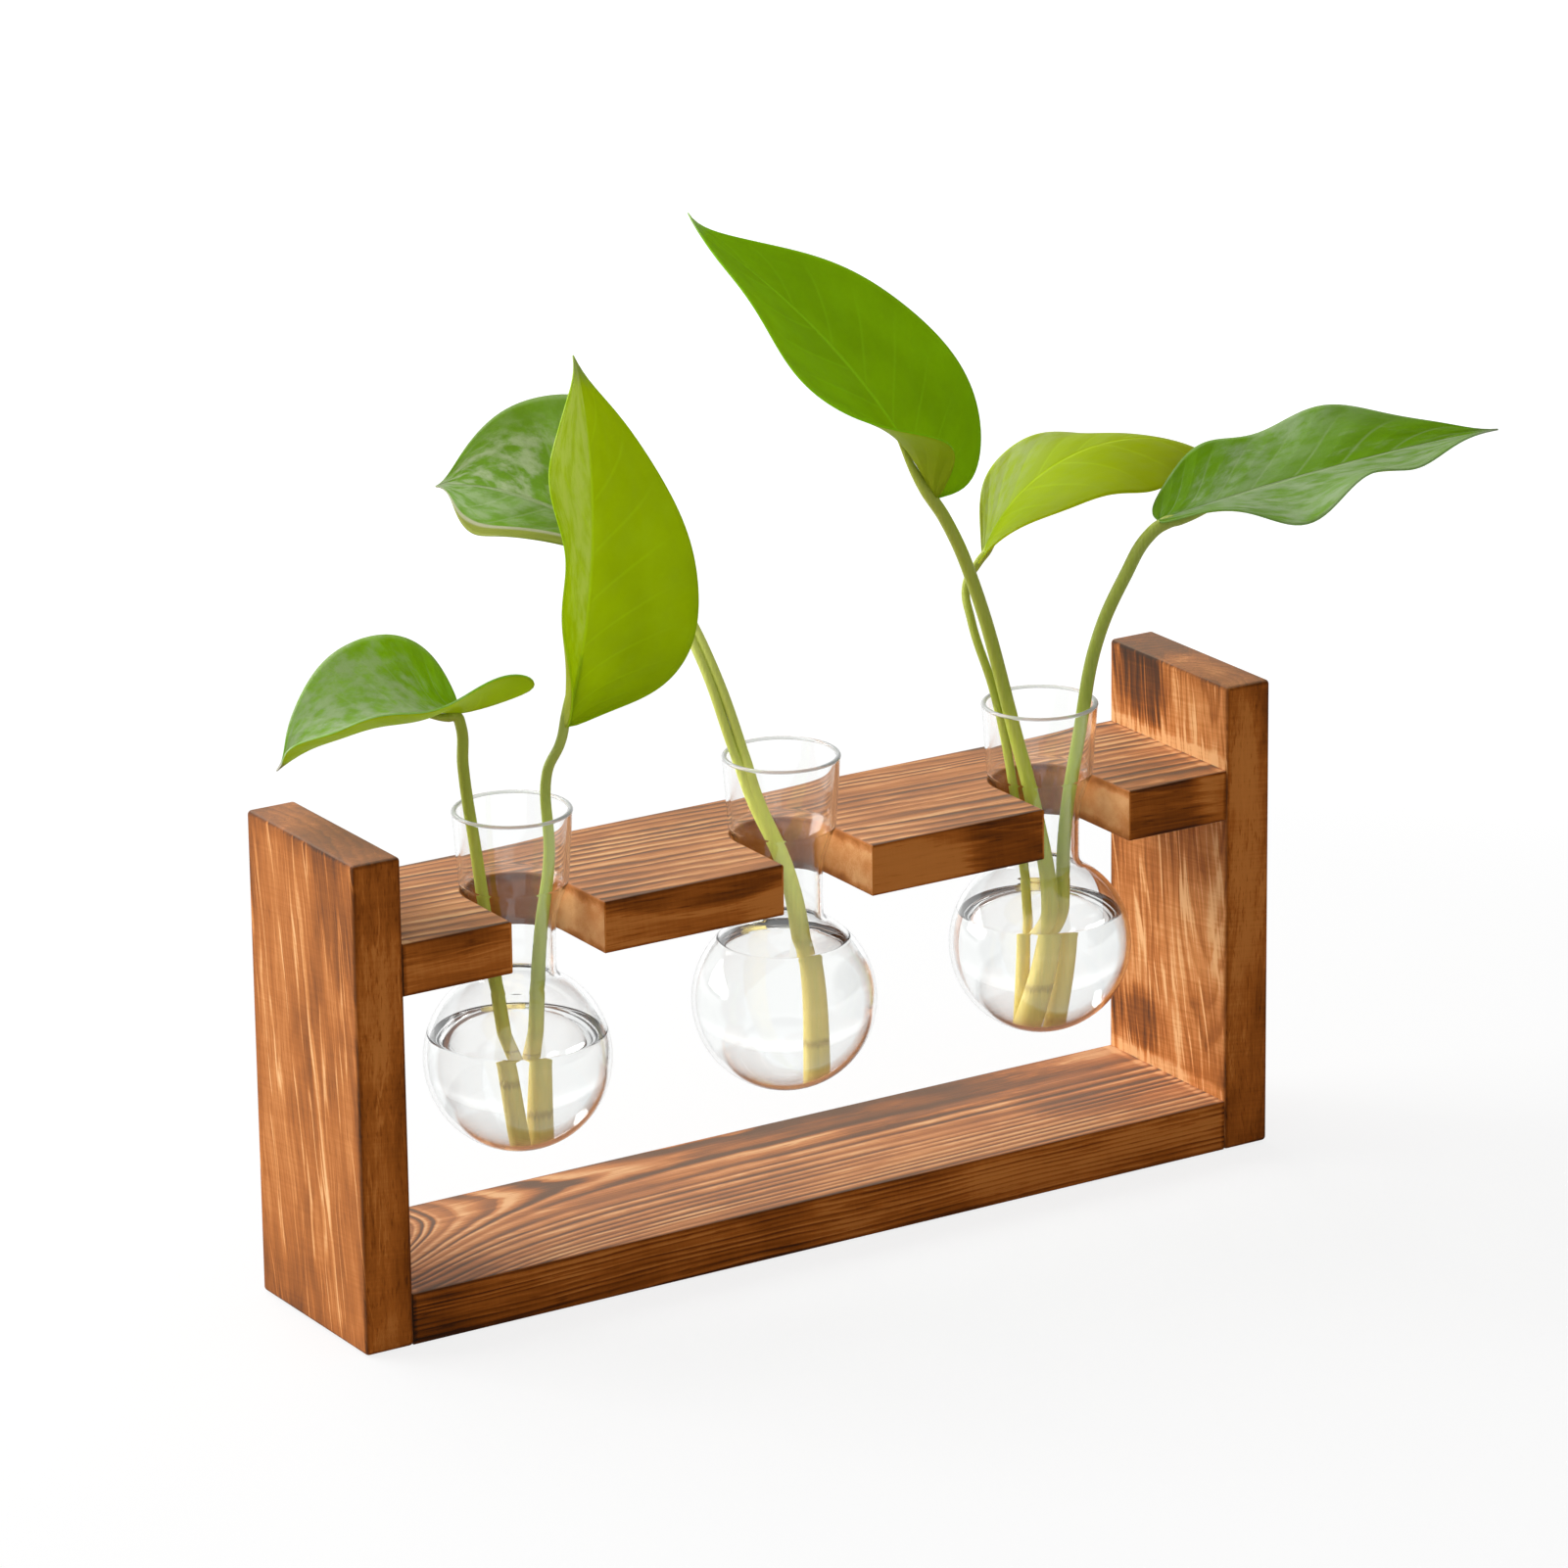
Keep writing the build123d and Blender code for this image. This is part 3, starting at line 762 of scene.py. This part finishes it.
def blade_point(shape, base, along, across):
    """Point on a blade: along is 0 at the stalk and 1 at the tip, across -1 at the right margin."""
    head, pitch, roll = (radians(shape[key]) for key in ("head", "pitch", "roll"))
    forward = Vector((cos(pitch) * cos(head), cos(pitch) * sin(head), sin(pitch)))
    level = Vector((-sin(head), cos(head), 0))
    raised = forward.cross(level)
    side = level * cos(roll) + raised * sin(roll)
    normal = raised * cos(roll) - level * sin(roll)

    # The midrib and the directions at this place on it
    arch = radians(shape["arch"])
    sweep = radians(shape["sweep"])
    turn = arch * along
    run = forward * (sin(turn) / arch) - normal * ((1 - cos(turn)) / arch)
    run = run + side * (sweep * along ** 2 / 2)
    hook = side * (shape["hook"] * exp((along - 1) / HOOK_REACH))
    middle = base + (run * shape["length"] + hook) * MM
    ahead = (forward * cos(turn) - normal * sin(turn) + side * (sweep * along)).normalized()
    upright = normal * cos(turn) + forward * sin(turn)
    twist = radians(shape["twist"]) * along
    beside = side * cos(twist) + upright * sin(twist)
    above = upright * cos(twist) - side * sin(twist)

    # The two margins
    widest = shape["widest"]
    swell = shape["taper"] * widest / (1 - widest)
    half = (along / widest) ** swell * ((1 - along) / (1 - widest)) ** shape["taper"]
    half *= 1 - shape["drip"] * exp(-((1 - along) / DRIP_REACH) ** 2)
    back = exp(-along / LOBE_REACH) * (1 - exp(-along / LOBE_START))
    swing = sin(pi * along ** shape["skew"]) ** 2
    margins = []
    for edge, (name, sign) in enumerate((("left", 1), ("right", -1))):
        first, last = shape[f"{name}_fold"]
        curl = shape["curls"][edge] * exp(-(along / CURL_REACH) ** 2)
        fold = radians(first + (last - first) * along + curl)
        reach = shape["widths"][edge] * half
        phase = shape["count"] * along + shape["start"] + (0 if edge else LEFT_WAVE_LEAD)
        flutter = shape["waves"][edge] * sin(tau * phase) * swing
        margin = beside * (sign * cos(fold) * reach) + above * (sin(fold) * reach + flutter)
        margins.append((margin - ahead * (shape["lobes"][edge] * back)) * MM)
    left, right = margins

    # A bow from margin to margin with a soft crease at the midrib
    crease = (sqrt(across ** 2 + 0.01) - 0.1) / (sqrt(1.01) - 0.1)
    bow = (1 - CREASE) * across ** 2 + CREASE * crease
    return middle + (left - right) * (across / 2) + (left + right) * (bow / 2)


def leaf_base(plant):
    """Where a blade meets its stalk."""
    stem = STEMS[plant]
    return vase_foot(stem["place"]) + Vector(stem["path"][-1]) * MM


def under_blade(shape, base, along, depth):
    """Point below the midrib of a blade."""
    middle = blade_point(shape, base, along, 0)
    ahead = blade_point(shape, base, along + 0.02, 0) - middle
    aside = blade_point(shape, base, along, 0.05) - blade_point(shape, base, along, -0.05)
    return middle - ahead.cross(aside).normalized() * depth


def stalk_line(plant):
    """Points of a stalk from its cut end to under its blade, and its radii there in millimetres."""
    stem = STEMS[plant]
    thick, thin = stem["radii"]
    foot = vase_foot(stem["place"])
    points = [foot + Vector(point) * MM for point in stem["path"]]
    last = len(points) - 1
    widths = [thin + (thick - thin) * (1 - k / last) ** 2 for k in range(last + 1)]
    points.insert(last, points[last - 1].lerp(points[last], 0.75))
    widths.insert(last, thin)
    shape = LEAVES[plant]
    base = leaf_base(plant)
    points[-1] = under_blade(shape, base, 0.02, thin * 0.8 * MM)
    for along, width in ((0.06, thin * 0.8), (0.2, 0.4)):
        points.append(under_blade(shape, base, along, (width + 0.5) * MM))
        widths.append(width)
    return points, widths


# Mesh making

def dress(node, material):
    """Gives a CAD node its material."""
    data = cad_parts[node].data
    data.materials.clear()
    data.materials.append(material)


def finish_piece(piece, name, materials, body):
    """Names, shades, dresses and rides a finished piece."""
    piece.name = name
    piece.data.name = name
    for polygon in piece.data.polygons:
        polygon.use_smooth = True
    for material in materials:
        piece.data.materials.append(material)
    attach(piece, body)


def spun(profile, foot):
    """Turns a side profile of (radius, height) points once round the vertical axis over foot."""
    bpy.ops.object.select_all(action="DESELECT")
    mesh = bpy.data.meshes.new("profile")
    corners = [(foot.x + radius, foot.y, height + foot.z) for radius, height in profile]
    mesh.from_pydata(corners, [(k, k + 1) for k in range(len(corners) - 1)], [])
    piece = bpy.data.objects.new("profile", mesh)
    bpy.context.collection.objects.link(piece)
    bpy.context.view_layer.objects.active = piece
    piece.select_set(True)
    bpy.ops.object.mode_set(mode="EDIT")
    bpy.ops.mesh.select_all(action="SELECT")
    bpy.ops.mesh.spin(steps=SPIN_STEPS, angle=tau, center=(foot.x, foot.y, 0), axis=(0, 0, 1))
    bpy.ops.mesh.select_all(action="SELECT")
    bpy.ops.mesh.remove_doubles(threshold=1e-6)
    bpy.ops.mesh.normals_make_consistent(inside=False)
    bpy.ops.object.mode_set(mode="OBJECT")
    return piece


def grow_tube(points, widths):
    """A tapered tube on a smooth curve through points, with its radius at each in millimetres."""
    bpy.ops.object.select_all(action="DESELECT")
    bpy.ops.curve.primitive_bezier_curve_add(location=(0, 0, 0))
    curve = bpy.context.object.data
    curve.dimensions = "3D"
    curve.resolution_u = 10
    curve.bevel_depth = MM
    curve.bevel_resolution = 6
    curve.use_fill_caps = True
    curve.splines.clear()
    spline = curve.splines.new("BEZIER")
    spline.bezier_points.add(len(points) - 1)
    for knot, point, width in zip(spline.bezier_points, points, widths):
        knot.co = point
        knot.handle_left_type = knot.handle_right_type = "AUTO"
        knot.radius = width
    bpy.ops.object.convert(target="MESH")
    return bpy.context.object


def sheathed(points, widths, split):
    """A stalk that parts into two strands side by side from one of its points up."""
    aside = Vector((0.85, -0.53, 0))
    apart = [0 if k < split else min(1, (k - split) / 2) for k in range(len(points))]
    girths = [width * (1 - 0.36 * share) for share, width in zip(apart, widths)]
    strands = []
    for sign, begin in ((-1, 0), (1, split - 1)):
        gaps = [sign * share * width * 0.62 * MM for share, width in zip(apart, widths)]
        line = [point + aside * gap for point, gap in zip(points, gaps)]
        strands.append(grow_tube(line[begin:], girths[begin:]))
    for strand in strands:
        strand.select_set(True)
    bpy.ops.object.join()
    return bpy.context.object


def unfold(plant, materials):
    """A blade from a flat grid, finer towards its base, thickened on its lower side."""
    bpy.ops.object.select_all(action="DESELECT")
    bpy.ops.mesh.primitive_grid_add(x_subdivisions=40, y_subdivisions=64, size=1, calc_uvs=True)
    blade = bpy.context.object
    base = leaf_base(plant)
    for vertex in blade.data.vertices:
        along = min(1, max(0, vertex.co.y + 0.5)) ** BASE_CROWDING
        vertex.co = blade_point(LEAVES[plant], base, along, -2 * vertex.co.x)
    for material in materials:
        blade.data.materials.append(material)
    solid = blade.modifiers.new("thickness", "SOLIDIFY")
    solid.thickness = BLADE_THICKNESS
    solid.offset = -1
    solid.material_offset = 1
    bpy.ops.object.modifier_apply(modifier=solid.name)
    bpy.ops.object.mode_set(mode="EDIT")
    bpy.ops.mesh.select_all(action="SELECT")
    bpy.ops.mesh.remove_doubles(threshold=2e-6)
    bpy.ops.object.mode_set(mode="OBJECT")
    return blade


# Operators

class VASE_OT_rack(bpy.types.Operator):
    """Dress the boards of the rack and the hidden dowels"""

    bl_idname = "vase.rack"
    bl_label = "Dress the rack"

    def execute(self, context):
        spacing = context.scene.rack_finish.ring_spacing
        foot = vase_foot("middle")
        pitch = (vase_foot("right").x - foot.x) / MM
        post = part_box("right_side_post")[0].x / MM
        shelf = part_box("notched_shelf")[1].z / MM
        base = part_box("base_board")[1].z / MM
        ends = [("top", (side * post, 0, 0), (4.0, ALL, ALL), 0.28) for side in (-1, 1)]
        left_seams, right_seams = (
            [("side", (x, 0, height + 1.0), (8.0, ALL, 4.0), 0.2) for height in (base, shelf)]
            for x in (-post, post)
        )
        boards = {
            "base_board": dict(
                grain="X", slant=0.02,
                rings=((24.0, base), (0.02, 0.0), spacing * 0.8, 0.5, (-146.0, 24.0, 40.0)),
                faces={
                    "side": (0.6, 0.2, 0.1, 0.0),
                    "front": (0.7, 0.24, 0.16, 0.06),
                    "top": (0.69, 0.6, 0.22, 0.06),
                },
                burns=[
                    *ends,
                    ("front", (-120, 0, 8), (34, ALL, 14), -0.18),
                    ("front", (30, 0, 8), (30, ALL, 14), -0.14),
                    ("top", (50, 22, 0), (60, 16, ALL), -0.3),
                    ("top", (116, 0, 0), (32, 32, ALL), -0.3),
                    ("top", (-140, -26, 0), (50, 16, ALL), -0.2),
                ],
            ),
            "notched_shelf": dict(
                grain="X", slant=-0.03,
                rings=((-90.0, 260.0), (-0.03, 0.03), spacing * 0.8, 0.6, None),
                faces={
                    "side": (0.6, 0.1, 0.2, 0.0),
                    "front": (0.82, 0.04, 0.2, 0.08),
                    "top": (0.7, 0.56, 0.28, 0.05),
                },
                burns=[
                    *ends,
                    ("front", (-128, 0, shelf - 6), (30, ALL, 6), -0.22),
                    ("front", (-44, 0, shelf - 4), (38, ALL, 6), -0.24),
                    ("front", (64, 0, shelf - 6), (20, ALL, 14), -0.32),
                    ("front", (120, 0, shelf - 4), (22, ALL, 16), -0.38),
                    ("top", (62, 0, 0), (60, ALL, ALL), -0.08),
                    ("top", (126, -8, 0), (16, 30, ALL), -0.08),
                ],
                notches=(pitch, foot.y / MM, NOTCH_HALF),
            ),
            "left_side_post": dict(
                grain="Z", slant=0.13,
                rings=((-230.0, -9.0), (0.0, 0.12), spacing, 0.7, None),
                faces={
                    "side": (0.61, 0.06, 0.46, 0.1),
                    "front": (0.71, 0.04, 0.16, 0.1),
                    "top": (0.54, 0.1, 0.16, 0.0),
                },
                burns=[
                    *left_seams,
                    ("side", (0, -16, 78), (ALL, 1.7, 95), 0.24),
                    ("side", (0, -36, 132), (ALL, 12, 30), -0.2),
                    ("side", (0, -31.5, 45), (ALL, 9, 70), 0.10),
                    ("front", (0, 0, 138), (ALL, ALL, 16), -0.12),
                ],
            ),
            "right_side_post": dict(
                grain="Z", slant=0.14,
                rings=((120.0, -22.0), (0.12, 0.0), spacing, 0.7, None),
                faces={
                    "side": (0.74, 0.12, 0.56, 0.2),
                    "front": (0.73, 0.04, 0.12, 0.16),
                    "top": (0.7, 0.1, 0.16, 0.0),
                },
                burns=[
                    *right_seams,
                    ("side", (0, -6, 141), (ALL, 20, 20), -0.54),
                    ("side", (0, 12, 30), (ALL, 16, 15), -0.4),
                    ("side", (0, -38, 70), (ALL, 8, 60), 0.14),
                    # A darker band across the middle of the post's top
                    ("top", (0, -2, 0), (ALL, 20, ALL), -0.36),
                    ("front", (0, 0, 142), (ALL, ALL, 16), -0.1),
                    ("front", (0, 0, 8), (ALL, ALL, 16), -0.1),
                ],
            ),
        }
        for node, board in boards.items():
            dress(node, torched_wood(f"torched_{node}", *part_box(node), **board))
        beech = dowel_wood()
        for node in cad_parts:
            if node.endswith("_dowels"):
                dress(node, beech)
        return {"FINISHED"}


class VASE_OT_glass(bpy.types.Operator):
    """Blow the vases and fill them with water"""

    bl_idname = "vase.glass"
    bl_label = "Make the vases and water"

    def execute(self, context):
        sizes = context.scene.vase_sizes
        glass = see_through("blown_glass", (0.985, 0.992, 0.99), 1.4)
        bead_highlight = rim_white_highlight()
        water = see_through("still_water", (0.985, 0.99, 0.985), 1.33)
        outline = glass_outline(sizes)
        for place, level in zip(PLACES, sizes.water):
            foot = vase_foot(place)
            body = f"{place}_vase"
            vessel = spun(outline, foot)
            finish_piece(vessel, f"{place}_vase_glass", (glass, bead_highlight), body)
            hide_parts(f"{place}_vase")
            for polygon in vessel.data.polygons:
                # The bead at the rim takes the painted white highlight
                polygon.material_index = int(polygon.center.z > foot.z + sizes.height - BEAD_DROP)
            fill = spun(water_side(sizes, level), foot)
            finish_piece(fill, f"{place}_water", (water,), body)
        return {"FINISHED"}


class VASE_OT_stems(bpy.types.Operator):
    """Grow the stalks from the water up to the leaves"""

    bl_idname = "vase.stems"
    bl_label = "Grow the stems"

    def execute(self, context):
        sizes = context.scene.vase_sizes
        for plant, stem in STEMS.items():
            place = stem["place"]
            level = (vase_foot(place).z + sizes.water[PLACES.index(place)]) / MM
            points, widths = stalk_line(plant)
            if stem["split"]:
                stalk = sheathed(points, widths, stem["split"])
            else:
                stalk = grow_tube(points, widths)
            skin = stem_skin(f"{plant}_stalk", stem["green"], level, stem["node"])
            finish_piece(stalk, f"{plant}_stalk", (skin,), BODIES[place])
            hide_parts(f"{plant}_stem")
        return {"FINISHED"}


class VASE_OT_leaves(bpy.types.Operator):
    """Unfold the leaf blades"""

    bl_idname = "vase.leaves"
    bl_label = "Unfold the leaves"

    def execute(self, context):
        look = context.scene.leaf_colours
        mid, lime, deep = Vector(look.mid_green), Vector(look.lime), Vector(look.deep_green)
        low = Vector(look.underside)
        pale = tuple(look.cream)
        green = (0.42, 0.70, 0.003)
        # Grey-green of the painted sheen
        sheen_grey = (0.52, 0.66, 0.40)
        # Lemon of the painted light on left_tall
        lemon = (0.80, 0.95, 0.30)
        under = leaf_skin("leaf_underside", low * 0.85, low * 1.15, (0.58, 0.56, 0.004), 7, 0.1)
        # The pale flecks are the middle leaf's cream mottling, but painted sheen on left_low and
        # right_spread
        skins = {
            "left_low": dict(
                slot="leaf_mid_green", deep=mid * 1.6, bright=mid * 2.4, glow=green,
                veins=7, wax=0.9, mottle_and_sheen=(pale, 0.5, 1.2), tip=0.95,
                painted_light_stretches=[("left", -0.1, 2, 0.9, sheen_grey), ("right", 0.1, 2, 1.0, sheen_grey)],
            ),
            # Its lime and lemon stretches are painted light on the half that faces the lamps
            "left_tall": dict(
                slot="leaf_lime", deep=lime * 1.45, bright=lime * 2, glow=(0.60, 0.79, 0.003),
                veins=8, wax=0.25,
                painted_light_stretches=[("left", -1, 2, 0.7, (0.5, 0.88, 0.01)), ("left", 0.35, 2, 1.0, lemon)],
            ),
            "middle": dict(
                slot="leaf_variegated", deep=deep * 1.5, bright=deep * 2.4,
                glow=(0.30, 0.46, 0.08), veins=7, wax=0.4, mottle_and_sheen=(pale, 0.4, 0.66),
                painted_light_stretches=[("left", 0.5, 2, 0.4, sheen_grey)], hem=True,
            ),
            "right_high": dict(
                slot="leaf_mid_green", deep=mid * 1.5, bright=mid * 2.4, glow=green,
                veins=8, wax=0.1,
            ),
            "right_arched": dict(
                slot="leaf_lime", deep=lime * 1.7, bright=lime * 2.1, glow=(0.72, 0.7, 0.003),
                veins=7, wax=0.25, painted_light_stretches=[("left", -1, 0.3, 0.55, sheen_grey)],
            ),
            "right_spread": dict(
                slot="leaf_deep_green", deep=mid * 1.1, bright=mid * 1.9,
                glow=(0.25, 0.46, 0.01), veins=8, wax=0.4, mottle_and_sheen=(pale, 0.52, 1.0),
                painted_light_stretches=[("left", 0.12, 0.42, 0.65, sheen_grey), ("right", -0.02, 2, 0.9, sheen_grey)],
            ),
        }
        for plant, skin in skins.items():
            slot = skin.pop("slot")
            blade = unfold(plant, (leaf_skin(f"{plant}_skin", **skin), under))
            finish_piece(blade, f"{plant}_blade", (), BODIES[STEMS[plant]["place"]])
            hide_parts(f"{plant}_leaf")
        return {"FINISHED"}


class VASE_OT_stage(bpy.types.Operator):
    """Set up the floor, the soft lights and the camera"""

    bl_idname = "vase.stage"
    bl_label = "Set the stage"

    def execute(self, context):
        bpy.ops.object.select_all(action="DESELECT")
        bpy.ops.mesh.primitive_plane_add(size=12, location=(0, 0, -0.0003))
        floor = context.object
        floor.name = "floor"
        floor.data.materials.append(floor_finish())

        world = bpy.data.worlds.new("studio")
        context.scene.world = world
        light_studio(world)

        lamps = (
            ("window", (-1.5, 1.2, 0.8), 1.3, 33.0),
            ("ceiling", (-0.3, 1.25, 1.45), 1.4, 22.0),
        )
        aim = Vector((0, 0, 0.13))
        for name, spot, size, power in lamps:
            bpy.ops.object.light_add(type="AREA", location=spot)
            lamp = context.object
            lamp.name = name
            lamp.data.size = size
            lamp.data.energy = power
            lamp.rotation_euler = (Vector(spot) - aim).to_track_quat("Z", "Y").to_euler()

        azimuth, elevation, roll = map(radians, VIEW_ANGLES)
        level = cos(elevation)
        back = Vector((sin(azimuth) * level, -cos(azimuth) * level, sin(elevation)))
        aside = (-back).cross(Vector((0, 0, 1))).normalized()
        above = aside.cross(-back)
        turned = aside * cos(roll) + above * sin(roll)
        upward = above * cos(roll) - aside * sin(roll)
        axes = Matrix((turned, upward, back)).transposed().to_4x4()
        bpy.ops.object.camera_add()
        camera = context.object
        camera.matrix_world = Matrix.Translation(Vector(VIEW_CENTRE) + back * VIEW_DISTANCE) @ axes
        camera.data.lens = VIEW_LENS
        camera.data.sensor_width = 36
        camera.data.clip_end = 50
        context.scene.camera = camera
        context.scene.view_settings.view_transform = "Standard"
        return {"FINISHED"}


class VASE_PT_panel(bpy.types.Panel):
    """Sidebar list of the vase's steps"""

    bl_idname = "VASE_PT_panel"
    bl_label = "Propagation vase"
    bl_space_type = "VIEW_3D"
    bl_region_type = "UI"
    bl_category = "Vase"

    def draw(self, context):
        for step in STEPS:
            self.layout.operator(step.bl_idname)
        for name, group in GROUPS.items():
            for key in group.__annotations__:
                self.layout.prop(getattr(context.scene, name), key)


STEPS = (VASE_OT_rack, VASE_OT_glass, VASE_OT_stems, VASE_OT_leaves, VASE_OT_stage)
GROUPS = {"rack_finish": RackFinish, "vase_sizes": VaseSizes, "leaf_colours": LeafColours}


def register():
    for item in (*GROUPS.values(), *STEPS, VASE_PT_panel):
        bpy.utils.register_class(item)
    for name, group in GROUPS.items():
        setattr(bpy.types.Scene, name, bpy.props.PointerProperty(type=group))


def unregister():
    for name in GROUPS:
        delattr(bpy.types.Scene, name)
    for item in reversed((*GROUPS.values(), *STEPS, VASE_PT_panel)):
        bpy.utils.unregister_class(item)


def main():
    register()
    bpy.ops.vase.rack()
    bpy.ops.vase.glass()
    bpy.ops.vase.stems()
    bpy.ops.vase.leaves()
    bpy.ops.vase.stage()


if __name__ == "__main__":
    main()
